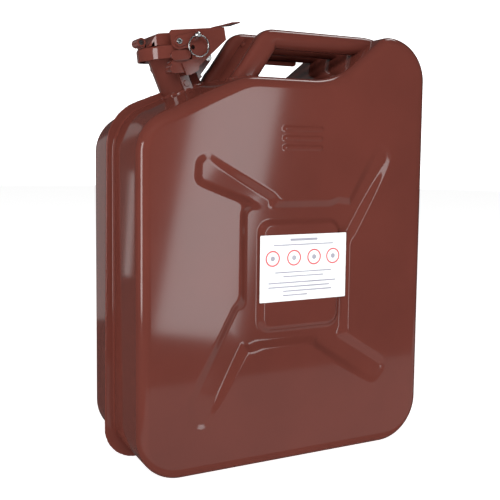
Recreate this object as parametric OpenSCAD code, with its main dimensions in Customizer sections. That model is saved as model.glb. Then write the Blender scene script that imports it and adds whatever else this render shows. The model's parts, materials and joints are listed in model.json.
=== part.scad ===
// Twenty litre steel fuel can: two pressed pans welded on a seam lip, three carrying bars,
// a tilted filler neck, and a hinged cap drawn down by a lever that a ring pin locks.
// X is the width (the neck is on the -X side), Y is the thickness, Z is up from the base.

/* [Shell] */
// Width across the pan walls
body_w = 345; // [335:1:355]
// Thickness between the two flat faces
body_t = 165; // [160:1:172]
// Height of the hump behind the handles
hump_z = 466; // [463:0.5:468]
// Height of the flat deck under the handles
deck_z = 414.6; // [413:0.1:416]
// Height of the sloping shoulder line at its outer end
shoulder_z = 360.5; // [356:0.5:364]
// Sheet thickness of the pans
wall = 1.2; // [1:0.1:1.5]
// Radius of the pressed edge around each face
edge_r = 11; // [9:0.5:13]
// Rise of the shoulder from the face to the seam
shoulder_crown = 8; // [4:1:9]
// Outward draft of the side walls towards the seam
side_draft = 1.5; // [0:0.5:2]

/* [Seam lip] */
// How far the welded lip stands out from the side walls at the base
lip_out_low = 10.4; // [9:0.1:11]
// How far the welded lip stands out from the side walls at the shoulder
lip_out_high = 7; // [6:0.1:8]
// Thickness of each pan's lip
lip_t = 1.4; // [1.2:0.1:1.8]
// Corner radius of the lip at the base
lip_corner_r = 34; // [30:1:38]
// Radius of the weld bead along the lip
bead_r = 1.4; // [1.2:0.1:1.6]

/* [Pressed cross] */
// Depth of the cross pressed into each face
cross_depth = 5; // [3:0.5:6]
// Width of the cross's arms
arm_w = 25; // [22:1:28]
// Depth of the raised pad in the middle, below the face
pad_depth = 1.2; // [1:0.1:2]

/* [Handles] */
// Radius of each carrying bar
bar_r = 10.5; // [10:0.5:11]
// Distance of the outer bars from the middle bar
bar_gap = 46; // [45:0.5:48]
// Height of the top of the bars
bar_top = 468.3; // [466:0.1:470]
// Slope of the bars' front legs, from level
leg_angle = 56; // [52:1:60]
// How far the middle bar's leg stands in front of the outer ones
middle_lead = 13; // [8:1:14]
// Wall of the bar tube
bar_wall = 1.5; // [1.2:0.1:2]

/* [Neck] */
// Tilt of the neck from upright
neck_tilt = 23; // [21:0.5:24]
// Outside radius of the neck tube
neck_r = 23; // [22.5:0.1:23.5]
// Wall of the neck tube
neck_wall = 2; // [1.5:0.1:2.5]
// Outside radius of the breather tube
breather_r = 5; // [4:0.5:5.5]

/* [Cap] */
// Tilt of the cap from level
cap_tilt = 7; // [6:0.5:8]
// Outside radius of the cap
cap_r = 34; // [33.5:0.1:34]
// Depth of the cap's skirt
skirt_h = 14; // [13:0.5:14]
// Thickness of the cap's sheet
cap_wall = 1.8; // [1.5:0.1:2]

/* [Lever] */
// Inside distance from the middle to each lever cheek
cheek_y = 34.8; // [34.6:0.1:35]
// Thickness of the lever's sheet
cheek_t = 2; // [1.6:0.1:2]
// Radius of the lever's pivot studs
stud_r = 3; // [2.6:0.1:3.2]
// Radial running clearance of studs and hinge pin
running = 0.05; // [0.03:0.01:0.08]

/* [Ring pin] */
// Radius of the locking pin
pin_r = 2; // [1.8:0.1:2.2]
// Radius of the pull ring to the middle of its wire
ring_r = 11; // [10:0.5:12]
// Radius of the ring's wire
wire_r = 0.9; // [0.7:0.1:1]

/* [Hidden] */
$fn = 48;

paint = [0.44, 0.22, 0.19];
half_w = body_w / 2;
half_t = body_t / 2;

// Corners of the pans' outline in X and Z, anticlockwise, each with its radius
outline_corners = [
    [-half_w, 0, 46], [half_w, 0, 50], [half_w, hump_z, 48], [117, hump_z, 19],
    [54.3, deck_z, 85], [-54.5, deck_z, 60], [-half_w, shoulder_z, 42]];

// Corners of the seam lip's outline: it stands clear of the ground and follows the pans
lip_z = 2;
base_dip = 2.7;
lip_corners = [
    [-half_w - lip_out_low, lip_z, lip_corner_r], [half_w + lip_out_low, lip_z, lip_corner_r],
    [half_w + lip_out_high, hump_z + 1, 54], [117, hump_z + 1, 20], [54, deck_z + 4, 85],
    [-66.7, deck_z + 4, 60], [-half_w - lip_out_high, shoulder_z + 13.5, 50]];

// Pressed cross: middle field, arm ends, and the raised pad that carries the label
field_x = [-59, 69];
field_z = [132, 281];
field_r = 14;
arm_len = 62;
// Each arm starts inside a corner of the field: [x, z, angle from level]
arms = [[-48, 274, 150.5], [60, 268, 60.5], [-46, 146, 240.5], [58, 140, 327]];
pad_x = [-37, 60];
pad_z = [147, 262];
label_x = [-40, 67];
label_z = [177, 248.5];
label_t = 0.35;

// Neck axis: it crosses the shoulder at neck_foot and meets the cap's plane at cap_origin
cap_origin = [-112, 0, 437];
neck_below = 48;
collar_h = 7;
collar_r = 28;
// Height of the sealing face above the cap's origin
mouth_w = 3.5;
skirt_bottom = -3.5;
cap_top = skirt_bottom + skirt_h;

// Cap hinge and lever pivot in the cap's own frame
hinge_at = [39.5, -4];
hinge_pin_r = 2.5;
knuckle_r = 5.3;
pivot_at = [-1, 12.6];
pin_at = [18.7, 17.2];
web_top = 24.6;
web_front = 10;
link_t = 1.5;
pin_head_r = 3.2;
ring_y = cheek_y + cheek_t + link_t + pin_head_r + 0.3;

// Bars: the level run's middle line and the leg's foot
bar_z = bar_top - bar_r;
leg_foot_x = -45;
bend_r = 13;
bend_len = bend_r * tan(leg_angle / 2);
rear_lag = 6;
function foot_x(y) = leg_foot_x - (y == 0 ? middle_lead : y > 0 ? -rear_lag : 0);
function elbow_x(y) = foot_x(y) + (bar_z - deck_z) / tan(leg_angle);

// ---------------------------------------------------------------- outline helpers

function unit(v) = v / norm(v);
function xz(p) = [p[0], p[1]];

// One rounded corner as points with outward normals: [x, z, nx, nz]
function corner_arc(a, b, c, r, steps) =
    let (d0 = unit(b - a), d1 = unit(c - b),
         n0 = [d0[1], -d0[0]], n1 = [d1[1], -d1[0]],
         turn = cross(d0, d1), side = turn > 0 ? 1 : -1,
         swing = acos(max(-1, min(1, n0 * n1))) * side,
         reach = r / cos(swing / 2),
         centre = b - side * reach * unit(n0 + n1))
    [for (k = [0:steps]) let (t = swing * k / steps,
        n = [n0[0] * cos(t) - n0[1] * sin(t), n0[0] * sin(t) + n0[1] * cos(t)])
        [centre[0] + side * r * n[0], centre[1] + side * r * n[1], n[0], n[1]]];

function rounded(corners, steps) =
    let (m = len(corners))
    [for (i = [0:m - 1])
        each corner_arc(xz(corners[(i + m - 1) % m]), xz(corners[i]), xz(corners[(i + 1) % m]),
                        corners[i][2], steps)];

pan = rounded(outline_corners, 7);
lip = rounded(lip_corners, 7);

// How far a point of the pan's outline swells between the face and the seam
function swell(p) =
    let (up = max(0, p[3]), near_neck = max(0, min(1, (-55 - p[0]) / 35)))
    side_draft * pow(p[2], 8) + shoulder_crown * up * up * near_neck;

// Ring of the pan at depth y, moved inwards by inset
function pan_ring(y, inset) =
    let (arch = 1 - pow(y / half_t, 2))
    [for (p = pan) let (s = swell(p) * arch - inset) [p[0] + p[2] * s, y, p[1] + p[3] * s]];

// Near the seam the sheet flares out to the lip; it dips inwards along the base, and it stays
// flush where the handles stand
function flush(p) = p[3] < 0.2 ? 1 : max(0, min(1, max((-75 - p[0]) / 15, (p[0] - 120) / 14)));

function seam_ring(y, flare, inset) =
    let (arch = 1 - pow(y / half_t, 2))
    [for (p = pan)
        let (low = max(0, -p[3]), out = flare * flush(p) * (1 - low) - base_dip * flare / 4 * low,
             s = swell(p) * arch + out - inset)
        [p[0] + p[2] * s, y, p[1] + p[3] * s]];

// Closed solid through rings that all have the same number of points; each end is a fan of
// triangles about its middle
function middle(ring) = [for (axis = [0:2]) (min([for (p = ring) p[axis]]) + max([for (p = ring) p[axis]])) / 2];

module loft(rings) {
    m = len(rings[0]);
    k = len(rings);
    points = concat([for (r = rings) each r], [middle(rings[0]), middle(rings[k - 1])]);
    sides = [for (i = [0:k - 2], j = [0:m - 1])
        let (a = i * m + j, b = i * m + (j + 1) % m, c = a + m, d = b + m)
        each [[a, b, c], [b, d, c]]];
    ends = [for (j = [0:m - 1]) let (next = (j + 1) % m)
        each [[next, j, k * m], [(k - 1) * m + j, (k - 1) * m + next, k * m + 1]]];
    polyhedron(points, concat(sides, ends), convexity = 8);
}

edge_steps = [0, 18, 38, 60, 90];
function edge_rings(inset) =
    [for (t = edge_steps)
        pan_ring(-half_t + edge_r - (edge_r - inset) * cos(t),
                 edge_r - (edge_r - inset) * sin(t))];

module pan_outer() {
    loft(concat(edge_rings(0), [pan_ring(-42, 0), pan_ring(-20, 0), seam_ring(-8, 0, 0),
        seam_ring(-4, 1, 0), seam_ring(-2.2, 2.6, 0), seam_ring(-lip_t, 4, 0), seam_ring(0, 4, 0)]));
}

module pan_inner() {
    loft(concat(edge_rings(wall), [pan_ring(-42, wall), pan_ring(-20, wall),
        seam_ring(-7.4, 0, wall), seam_ring(-3, 0.8, wall), seam_ring(0, 1.2, wall),
        seam_ring(1, 1.2, wall)]));
}

// ---------------------------------------------------------------- shells

// Outline of a box in X and Z with rounded corners
corner_steps = 5;
function rounded_box(xs, zs, r) =
    let (corners = [[xs[1] - r, zs[1] - r], [xs[0] + r, zs[1] - r], [xs[0] + r, zs[0] + r], [xs[1] - r, zs[0] + r]])
    [for (q = [0:3], k = [0:corner_steps]) let (a = 90 * (q + k / corner_steps))
        corners[q] + r * [cos(a), sin(a)]];

// Outline of an arm with a round end, along +X from the origin
function arm_outline(len, half) =
    concat([[0, half], [0, -half]],
           [for (k = [0:2 * corner_steps]) let (a = -90 + 90 * k / corner_steps)
               [len + half * cos(a), half * sin(a)]]);

module cross_outline(grow) {
    polygon(rounded_box([field_x[0] - grow, field_x[1] + grow],
                        [field_z[0] - grow, field_z[1] + grow], field_r + grow));
    for (a = arms) translate([a[0], a[1]]) rotate(a[2])
        polygon(arm_outline(arm_len, arm_w / 2 + grow));
}

// Extrudes an X-Z outline from depth y0 to depth y1
module along_y(y0, y1) {
    translate([0, y1, 0]) rotate([90, 0, 0]) linear_extrude(y1 - y0) children();
}

module cross_cut(grow, depth, pad) {
    difference() {
        along_y(-half_t - 1, -half_t + depth) cross_outline(grow);
        along_y(-half_t + pad, 0)
            polygon(rounded_box([pad_x[0] + grow, pad_x[1] - grow], [pad_z[0] + grow, pad_z[1] - grow], 12));
    }
}

module lip_plate() {
    along_y(-lip_t, 0) difference() {
        polygon([for (p = lip) [p[0], p[1]]]);
        polygon([for (q = seam_ring(0, 1.2, wall)) [q[0], q[2]]]);
    }
}

// The lip is left off where the handles and the hump's slope come
module lip_gap() {
    translate([-84, -4, deck_z - 9]) cube([208, 8, 80]);
}

module shell_half() {
    difference() {
        union() {
            difference() {
                pan_outer();
                cross_cut(0, cross_depth, pad_depth);
            }
            difference() {
                lip_plate();
                lip_gap();
            }
        }
        difference() {
            pan_inner();
            cross_cut(wall, cross_depth + wall, pad_depth + wall);
        }
        neck_hole();
    }
}

// Many-sided hole that the neck tube just fills
neck_hole_sides = 48;
module neck_hole() {
    in_neck_frame() translate([0, 0, -120]) linear_extrude(200)
        polygon([for (k = [0:neck_hole_sides - 1]) let (a = 360 * (k + 0.5) / neck_hole_sides)
            (neck_r + 0.02) / cos(180 / neck_hole_sides) * [cos(a), sin(a)]]);
}

module front_shell() color(paint) shell_half();

module rear_shell() color(paint) mirror([0, 1, 0]) shell_half();

// Weld bead around the edge of the lip
bead_sides = 6;
module seam_weld() color(paint) difference() {
    m = len(lip);
    points = [for (p = lip, k = [0:bead_sides - 1])
        let (a = 360 * k / bead_sides, s = bead_r * (0.2 + cos(a)))
        [p[0] + p[2] * s, bead_r * sin(a), p[1] + p[3] * s]];
    faces = [for (i = [0:m - 1], k = [0:bead_sides - 1])
        let (i2 = (i + 1) % m, k2 = (k + 1) % bead_sides,
             a = i * bead_sides + k, b = i * bead_sides + k2,
             c = i2 * bead_sides + k, d = i2 * bead_sides + k2)
        each [[a, b, c], [b, d, c]]];
    polyhedron(points, faces, convexity = 8);
    lip_gap();
    neck_hole();
}

// ---------------------------------------------------------------- handles

// Middle line of a bar, as points [x, z, heading]: up the leg, over the bend, along the level run,
// and down into the hump
end_x = 104;
end_r = 60;
end_angle = 25;
leg_below = 25;
function arc_line(centre, radius, from, to, steps) =
    let (side = from > to ? radius : -radius)
    [for (k = [0:steps]) let (a = from + (to - from) * k / steps)
        [centre[0] - side * sin(a), centre[1] + side * cos(a), a]];

function bar_line(y) = concat(
    [[foot_x(y) - leg_below * cos(leg_angle), deck_z - leg_below * sin(leg_angle), leg_angle]],
    arc_line([elbow_x(y) + bend_len, bar_z - bend_r], bend_r, leg_angle, 0, 6),
    arc_line([end_x, bar_z - end_r], end_r, 0, -end_angle, 4));

// Tube along a line in the X-Z plane
tube_sides = 24;
function tube_ring(p, y, r) =
    [for (k = [0:tube_sides - 1]) let (a = 360 * (k + 0.5) / tube_sides)
        [p[0] - sin(p[2]) * r * cos(a), y + r * sin(a), p[1] + cos(p[2]) * r * cos(a)]];

function stretched(line, extra) =
    let (a = line[0], b = line[len(line) - 1])
    concat([[a[0] - extra * cos(a[2]), a[1] - extra * sin(a[2]), a[2]]], line,
           [[b[0] + extra * cos(b[2]), b[1] + extra * sin(b[2]), b[2]]]);

module tube(line, y, r, w) {
    difference() {
        loft([for (p = line) tube_ring(p, y, r)]);
        loft([for (p = stretched(line, 1)) tube_ring(p, y, r - w)]);
    }
}

// Straight lengths of the bars as plain rods, for trimming what fits around them
module leg_rod(y) {
    leg_frame(y) translate([0, 0, -leg_below]) cylinder(r = bar_r, h = 85);
}

module level_rod(y) {
    translate([-8, y, bar_z]) rotate([0, 90, 0]) cylinder(r = bar_r, h = 110);
}

module leg_frame(y) {
    translate([foot_x(y), y, deck_z]) rotate([0, 90 - leg_angle, 0]) children();
}

// The pans' outline as a solid, for trimming what stands on it
module pan_block() {
    along_y(-80, 80) polygon([for (p = pan) xz(p)]);
}

module handle_bar(y) {
    difference() {
        tube(bar_line(y), y, bar_r, bar_wall);
        pan_block();
        neck_hole();
    }
}

module front_handle() color(paint) handle_bar(-bar_gap);

module middle_handle() color(paint) handle_bar(0);

module rear_handle() color(paint) handle_bar(bar_gap);

// Sheet that ties the three legs together; it bows forward to the middle leg
bridge_t = 2;
bridge_len = 50;
bridge_bow = middle_lead * sin(leg_angle);
bridge_r = (bar_gap * bar_gap + bridge_bow * bridge_bow) / (2 * bridge_bow);
rivet_y = 16.5;
rivet_up = 40;
module bridge_axis() {
    leg_frame(-bar_gap) translate([bridge_r - bridge_bow, bar_gap, 0]) children();
}

module handle_bridge() color(paint) difference() {
    intersection() {
        bridge_axis() translate([0, 0, -leg_below]) difference() {
            cylinder(r = bridge_r + bridge_t / 2, h = bridge_len + leg_below, $fn = 96);
            translate([0, 0, -1]) cylinder(r = bridge_r - bridge_t / 2, h = bridge_len + leg_below + 2, $fn = 96);
        }
        translate([-110, -bar_gap, deck_z - 20]) cube([110, 2 * bar_gap, 90]);
    }
    for (y = [-bar_gap, 0, bar_gap]) leg_rod(y);
    pan_block();
    rivet_places() cylinder(r = 2, h = 20, center = true);
}

module rivet_places() {
    bridge_axis() for (side = [-1, 1]) rotate([0, 0, side * asin(rivet_y / bridge_r)])
        translate([-bridge_r, 0, rivet_up]) rotate([0, -90, 0]) children();
}

module bridge_rivets() color(paint) rivet_places() {
    cylinder(r = 2, h = bridge_t + 1, center = true);
    translate([0, 0, bridge_t / 2]) cylinder(r1 = 3.6, r2 = 1.8, h = 1.8);
}

// Stiffening web under the front part of the rear bar
gusset_x = [2, 72];
gusset_h = 5.5;
gusset_r = 4;
module rear_bar_gusset() color(paint) difference() {
    translate([0, bar_gap + 1.5, bar_z - bar_r - gusset_h]) rotate([90, 0, 0]) linear_extrude(3) {
        translate([gusset_x[0], 0]) square([gusset_x[1] - gusset_x[0] - gusset_r, gusset_h + 3]);
        translate([gusset_x[0], gusset_r]) square([gusset_x[1] - gusset_x[0], gusset_h + 3 - gusset_r]);
        translate([gusset_x[1] - gusset_r, gusset_r]) circle(gusset_r);
    }
    level_rod(bar_gap);
}

// Fillet weld around each leg's foot
foot_bead = 2.2;
module handle_welds() color(paint) for (y = [-bar_gap, 0, bar_gap]) difference() {
    intersection() {
        leg_frame(y) translate([0, 0, -leg_below]) cylinder(r = bar_r + foot_bead, h = 60);
        along_y(-80, 80) polygon([for (p = pan) xz(p) + foot_bead * [p[2], p[3]]]);
    }
    leg_rod(y);
    pan_block();
    neck_hole();
}

// ---------------------------------------------------------------- neck

module in_cap_frame() {
    translate(cap_origin) rotate([0, -cap_tilt, 0]) children();
}

module in_neck_frame() {
    translate(cap_origin) rotate([0, -neck_tilt, 0]) children();
}

module below_cap_plane(w) {
    in_cap_frame() translate([-150, -150, w - 300]) cube(300);
}

module neck_tube() color(paint) difference() {
    intersection() {
        in_neck_frame() translate([0, 0, -neck_below - 12]) difference() {
            cylinder(r = neck_r, h = neck_below + 40, $fn = 96);
            translate([0, 0, -1]) cylinder(r = neck_r - neck_wall, h = neck_below + 60, $fn = 96);
        }
        below_cap_plane(mouth_w);
    }
    translate([breather_from, 0, breather_z]) rotate([0, 90, 0]) cylinder(r = breather_r - breather_wall, h = 60);
}

// Fillet weld where the neck comes through the shoulder
neck_foot = -36;
module neck_weld() color(paint) in_neck_frame() translate([0, 0, neck_foot])
    rotate_extrude($fn = 96) polygon([[neck_r, 2], [neck_r + 1, 2], [neck_r + 4, -1.2], [neck_r + 4, -2.2],
                                      [neck_r, -2.2]]);

// Rolled collar that the gasket seals on
module mouth_collar() color(paint) difference() {
    in_cap_frame() translate([0, 0, mouth_w - collar_h]) rotate_extrude($fn = 96) polygon(concat(
        [[neck_r - 4, 0], [collar_r - 2, 0]],
        [for (t = [-90:22.5:90]) [collar_r - 2 + 2 * cos(t), collar_h - 2 + 2 * sin(t)]],
        [[neck_r - 4, collar_h]]));
    in_neck_frame() translate([0, 0, -60]) cylinder(r = neck_r, h = 120, $fn = 96);
}

// Air tube: from the back of the neck, along under the deck, and up into the hump
breather_wall = 1;
breather_from = -92;
breather_z = 398;
breather_bend = 20;
breather_rise_x = 110;
breather_top = 444;
breather_line = concat(
    [[breather_from, breather_z, 0]],
    arc_line([breather_rise_x - breather_bend, breather_z + breather_bend], breather_bend, 0, 90, 6),
    [[breather_rise_x, breather_top, 90]]);
module breather_tube() color("silver") difference() {
    tube(breather_line, 0, breather_r, breather_wall);
    neck_hole();
}

// Strap on one side of the neck with its end lug and the round-ended rest for the lever
strap_t = 2.5;
strap_w = 10;
lug_y = 34.2;
module strap(lug_from) difference() {
    union() {
        in_neck_frame() translate([-strap_w / 2 - 1.5, -neck_r - strap_t, -38])
            cube([strap_w, strap_t + 8, 34]);
        in_cap_frame() {
            translate([lug_from, 0, -15]) rotate([90, 0, 0]) cylinder(r = 4.5, h = lug_y);
            translate([lug_from, -lug_y, -19.5]) cube([3 - lug_from, lug_y, 9]);
            for (u = [-5, 6]) translate([u, 0, -9.6]) rotate([90, 0, 0]) cylinder(r = 5.4, h = lug_y);
            translate([-5, -lug_y, -15]) cube([11, lug_y, 10.8]);
        }
    }
    in_neck_frame() translate([0, 0, -80]) cylinder(r = neck_r, h = 160, $fn = 96);
    in_cap_frame() translate([-40, -60, skirt_bottom - 0.6]) cube([80, 80, 30]);
    in_neck_frame() translate([-60, -neck_r + 8, -80]) cube([120, 80, 160]);
}

module front_strap() color(paint) strap(-8);

module rear_strap() color(paint) mirror([0, 1, 0]) strap(-1);

module strap_spot_welds() color(paint) in_neck_frame() for (side = [-1, 1])
    translate([-1.5, side * (neck_r + strap_t), -31]) rotate([-90 * side, 0, 0]) {
        cylinder(r = 3.2, h = 0.9);
        rotate_extrude() translate([3.2, 0]) circle(0.5, $fn = 16);
    }

// Two arms behind the neck that carry the cap's hinge pin
arm_y = [9.8, 13.8];
module arm_plate() {
    polygon([[14, -30], [20, -32], [hinge_at[0] + 3.4, hinge_at[1] - 3.4],
             [hinge_at[0] - 3.4, hinge_at[1] + 3.4], [27, -9], [20, -14], [10, -18]]);
    translate(hinge_at) circle(4.8);
}

module hinge_bracket() color(paint) difference() {
    in_cap_frame() {
        along_y(-arm_y[1], -arm_y[0]) arm_plate();
        along_y(arm_y[0], arm_y[1]) arm_plate();
        along_y(-arm_y[1], arm_y[1]) polygon([[14, -30], [20, -32], [31, -24], [28.5, -20.5], [12, -24]]);
    }
    in_neck_frame() translate([0, 0, -80]) cylinder(r = neck_r, h = 160, $fn = 96);
    in_cap_frame() hinge_hole(hinge_pin_r);
}

module hinge_hole(r) {
    translate([hinge_at[0], 30, hinge_at[1]]) rotate([90, 0, 0]) cylinder(r = r, h = 60);
}

module hinge_pin() color("silver") in_cap_frame() translate([hinge_at[0], 0, hinge_at[1]]) rotate([90, 0, 0]) {
    cylinder(r = hinge_pin_r, h = 2 * arm_y[1] + 3, center = true);
    for (side = [-1, 1]) translate([0, 0, side * (arm_y[1] + 0.8)]) cylinder(r = 3.8, h = 1.5, center = true);
}

// ---------------------------------------------------------------- cap

module cap_shell() color(paint) in_cap_frame() rotate_extrude($fn = 96) polygon([
    [0, cap_top - cap_wall], [cap_r - cap_wall - 1, cap_top - cap_wall],
    [cap_r - cap_wall, cap_top - cap_wall - 1], [cap_r - cap_wall, skirt_bottom], [cap_r, skirt_bottom],
    [cap_r, cap_top - 3], [cap_r - 0.9, cap_top - 0.9], [cap_r - 3, cap_top],
    [22, cap_top], [20, cap_top + 1.2], [9, cap_top + 1.2], [7, cap_top], [0, cap_top]]);

module cap_gasket() color([0.08, 0.08, 0.08]) in_cap_frame() translate([0, 0, mouth_w + 0.3])
    difference() {
        cylinder(r = 29.5, h = cap_top - cap_wall - mouth_w - 0.3, $fn = 96);
        translate([0, 0, -1]) cylinder(r = 17.5, h = 20, $fn = 96);
    }

module gasket_retainer() color("silver") in_cap_frame() translate([0, 0, mouth_w + 0.8])
    cylinder(r = 17.5, h = cap_top - cap_wall - mouth_w - 0.8, $fn = 96);

// Saddle on the cap: a sloping front, a top, and two ears that carry the studs
yoke_t = 1.8;
yoke_in = 24;
yoke_outer = [[-27.6, cap_top], [-27, 13], [-21, 21.6], [-18.5, web_top - 1.8], [5.5, web_top - 1.8]];
yoke_inner = [[5.5, web_top - 3.6], [-18, web_top - 3.6], [-19.8, 20.4], [-25.3, 12.6], [-25.6, cap_top]];
module cap_yoke() color(paint) in_cap_frame() difference() {
    intersection() {
        union() {
            along_y(-yoke_in, yoke_in) polygon(concat(yoke_outer, yoke_inner));
            for (side = [-1, 1]) translate([0, side * (yoke_in + yoke_t / 2), 0])
                along_y(-yoke_t / 2, yoke_t / 2) polygon(concat(yoke_outer, [[8, cap_top]]));
        }
        cylinder(r = cap_r - 0.6, h = 60, $fn = 96);
    }
    translate([pivot_at[0], 60, pivot_at[1]]) rotate([90, 0, 0]) cylinder(r = stud_r, h = 120);
}

// Bosses welded on the two sides of the cap's skirt
boss_half = [11, 5.1];
boss_w = -1.5;
boss_y = 36.6;
strap_clear = 34.6;
module cap_bosses() color(paint) in_cap_frame() difference() {
    for (side = [-1, 1]) translate([0, side * (boss_y + 30) / 2, boss_w]) rotate([90, 0, 0])
        linear_extrude(boss_y - 30, center = true) {
            for (end = [-1, 1]) translate([end * (boss_half[0] - boss_half[1]), 0]) circle(boss_half[1]);
            square([2 * (boss_half[0] - boss_half[1]), 2 * boss_half[1]], center = true);
        }
    translate([0, 0, -30]) cylinder(r = cap_r, h = 60, $fn = 96);
    translate([-20, -strap_clear, -30]) cube([40, 2 * strap_clear, 30 + skirt_bottom]);
}

// Curled finger lip at the front of the cap
cap_lip_y = 10;
curl_at = [-32.2, 16.4];
curl_r = 4.6;
curl_wall = 1.6;
module cap_lip() color(paint) in_cap_frame() difference() {
    union() {
        translate([curl_at[0], cap_lip_y, curl_at[1]]) rotate([90, 0, 0]) cylinder(r = curl_r, h = 2 * cap_lip_y);
        translate([curl_at[0] + 1.4, -cap_lip_y, cap_top - 1.5]) cube([curl_wall, 2 * cap_lip_y, 4]);
    }
    translate([curl_at[0], 20, curl_at[1]]) rotate([90, 0, 0]) cylinder(r = curl_r - curl_wall, h = 40);
    translate([0, 0, cap_top - 20]) cylinder(r = cap_r - 0.9, h = 20, $fn = 96);
}

// Leaf from the cap's rear edge to the hinge pin
leaf_y = 9.4;
module cap_hinge_leaf() color(paint) in_cap_frame() difference() {
    union() {
        translate([hinge_at[0], leaf_y, hinge_at[1]]) rotate([90, 0, 0])
            cylinder(r = knuckle_r, h = 2 * leaf_y);
        along_y(-leaf_y, leaf_y) polygon([[31, cap_top - 5], [cap_r + 1, cap_top - 3],
            [hinge_at[0] + 4.4, hinge_at[1] + 1.5], [hinge_at[0], hinge_at[1] - 3], [31, hinge_at[1] + 3]]);
    }
    translate([0, 0, -30]) cylinder(r = cap_r, h = 60, $fn = 96);
    hinge_hole(hinge_pin_r + running);
}

// Hollow studs that the lever turns on, one each side, held in the yoke's ears
stud_out = cheek_y + cheek_t + link_t + 0.6;
module lever_studs() color("silver") in_cap_frame() for (side = [-1, 1])
    translate([pivot_at[0], side * yoke_in, pivot_at[1]]) rotate([-90 * side, 0, 0]) difference() {
        cylinder(r = stud_r, h = stud_out - yoke_in);
        translate([0, 0, 4]) cylinder(r = stud_r - 1.2, h = 30);
    }

// ---------------------------------------------------------------- lever

module cheek_outline() {
    polygon([[-10, web_top - 2], [-8, web_top], [52.2, web_top], [53, 11.3], [18.6, -14], [18.1, -18.3],
             [8.5, -22.3], [3.9, -22.6], [-0.3, -10], [5, -8], [11.5, -6.5], [13, -1], [10, 4.8],
             [2, 5.2], [-5, 6], [-9, 10]]);
    translate(pivot_at) circle(8.5);
}

module lever() color(paint) in_cap_frame() difference() {
    union() {
        for (side = [-1, 1]) translate([0, side * (cheek_y + cheek_t / 2), 0])
            along_y(-cheek_t / 2, cheek_t / 2) cheek_outline();
        translate([web_front, -cheek_y - cheek_t, web_top - cheek_t])
            cube([52.2 - web_front, 2 * (cheek_y + cheek_t), cheek_t]);
    }
    translate([pivot_at[0], 60, pivot_at[1]]) rotate([90, 0, 0]) cylinder(r = stud_r + running, h = 120);
    translate([pin_at[0], 60, pin_at[1]]) rotate([90, 0, 0]) cylinder(r = pin_r + running, h = 120);
    translate([14, 60, 5.6]) rotate([90, 0, 0]) cylinder(r = 2.4, h = 120);
}

// Round-ended doubler plate on the outside of a cheek, from the stud to the ring pin
link_r = [5.6, 4.6];
module lever_link(side) {
    v = pin_at - pivot_at;
    color(paint) in_cap_frame() translate([0, side * (cheek_y + cheek_t + link_t / 2), 0]) difference() {
        union() {
            translate([pivot_at[0], link_t / 2, pivot_at[1]]) rotate([90, 0, 0])
                cylinder(r = link_r[0], h = link_t);
            translate([pin_at[0], link_t / 2, pin_at[1]]) rotate([90, 0, 0])
                cylinder(r = link_r[1], h = link_t);
            along_y(-link_t / 2, link_t / 2) polygon([for (p = [[pivot_at, link_r[0]], [pin_at, link_r[1]],
                                                                [pin_at, -link_r[1]], [pivot_at, -link_r[0]]])
                p[0] + (p[1] > 0 ? p[1] - 0.1 : p[1] + 0.1) * [-v[1], v[0]] / norm(v)]);
        }
        translate([pivot_at[0], 10, pivot_at[1]]) rotate([90, 0, 0]) cylinder(r = stud_r + running, h = 20);
        translate([pin_at[0], 10, pin_at[1]]) rotate([90, 0, 0]) cylinder(r = pin_r + running, h = 20);
    }
}

module front_lever_link() lever_link(-1);

module rear_lever_link() lever_link(1);

// Thumb tab on the end of the web, rising over the bars
tab_w = 26;
module thumb_tab() color(paint) in_cap_frame() along_y(-tab_w / 2, tab_w / 2)
    polygon([[37, web_top], [43.5, web_top], [51.5, web_top + 2], [63, web_top + 3.8], [74, web_top + 6],
             [83.4, web_top + 6.4], [83.6, web_top + 8], [73.4, web_top + 7.8], [62.3, web_top + 5.7],
             [51, web_top + 3.9], [43, web_top + 2], [37, web_top + 2]]);

// ---------------------------------------------------------------- ring pin

pin_end = cheek_y + cheek_t + link_t + 1.5;
module ring_pin() color("silver") in_cap_frame() translate([pin_at[0], 0, pin_at[1]]) difference() {
    rotate([90, 0, 0]) rotate_extrude() polygon([
        [0, -pin_end], [pin_r - 0.8, -pin_end], [pin_r, -pin_end + 1.2], [pin_r, ring_y - pin_head_r],
        [pin_head_r - 0.8, ring_y - pin_head_r], [pin_head_r, ring_y - pin_head_r + 0.8],
        [pin_head_r, ring_y + pin_head_r - 1.2], [pin_head_r - 1.2, ring_y + pin_head_r],
        [0, ring_y + pin_head_r]]);
    translate([-10, -ring_y, 0]) rotate([0, 90, 0]) cylinder(r = wire_r + 0.75, h = 20);
}

module pull_ring() color("silver") in_cap_frame()
    translate([pin_at[0], -ring_y, pin_at[1] - ring_r]) rotate([90, 0, 0])
        rotate_extrude($fn = 64) translate([ring_r, 0]) circle(wire_r, $fn = 20);

// ---------------------------------------------------------------- label

module label() color("white")
    along_y(-half_t + pad_depth - label_t, -half_t + pad_depth) polygon(rounded_box(label_x, label_z, 1));

front_shell();
rear_shell();
seam_weld();
front_handle();
middle_handle();
rear_handle();
handle_bridge();
bridge_rivets();
rear_bar_gusset();
handle_welds();
neck_tube();
neck_weld();
mouth_collar();
breather_tube();
front_strap();
rear_strap();
strap_spot_welds();
hinge_bracket();
hinge_pin();
cap_shell();
cap_gasket();
gasket_retainer();
cap_yoke();
cap_bosses();
cap_lip();
cap_hinge_leaf();
lever_studs();
lever();
front_lever_link();
rear_lever_link();
thumb_tab();
ring_pin();
pull_ring();
label();
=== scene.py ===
"""Looks of the fuel can: smooth pressed pans, seam, carrying bars, softened fittings and the label's print."""
import json
import math

import bmesh
import bpy
import numpy as np
from mathutils import Matrix, Vector


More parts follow.
